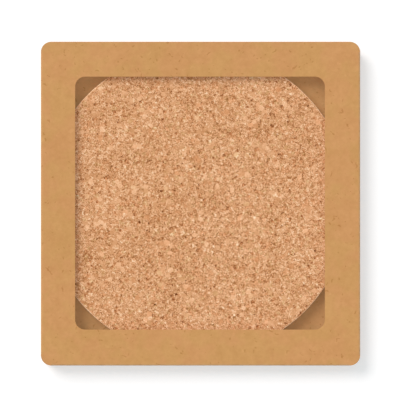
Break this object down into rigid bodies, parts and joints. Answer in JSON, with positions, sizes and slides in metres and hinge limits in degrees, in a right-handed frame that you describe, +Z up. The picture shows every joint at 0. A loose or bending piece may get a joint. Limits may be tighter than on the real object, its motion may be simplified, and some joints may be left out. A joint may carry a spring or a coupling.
{
  "type": "drink coaster",
  "caption": "Round cork drink coaster in a flat kraft-card pocket with round corners and a square window; the coaster slides out of the pocket's open end.",
  "frame": {"origin": "middle of the back card's underside, which lies on the table", "axes": "+Z up out of the window, +Y out of the pocket's open mouth, +X to the right as seen through the window"},
  "size_m": [0.0986, 0.1, 0.0058],
  "materials": {
    "kraft_card": "matt unbleached kraft card with faint fibres",
    "cork": "sanded agglomerated cork, matt",
    "glue": "dry paper glue"
  },
  "bodies": {
    "holder": {"front_panel": "kraft_card", "left_wall": "kraft_card", "right_wall": "kraft_card", "bottom_wall": "kraft_card", "left_corner_tab": "kraft_card", "right_corner_tab": "kraft_card", "left_flap": "kraft_card", "right_flap": "kraft_card", "bottom_flap": "kraft_card", "left_glue_strip": "glue", "right_glue_strip": "glue", "bottom_glue_strip": "glue", "back_card": "kraft_card"},
    "coaster": {"cork_coaster": "cork"}
  },
  "joints": [
    {"name": "coaster_slide", "type": "slide", "parent": "holder", "child": "coaster", "axis": [0, 1, 0], "range_m": [-0.002, 0.098]}
  ]
}
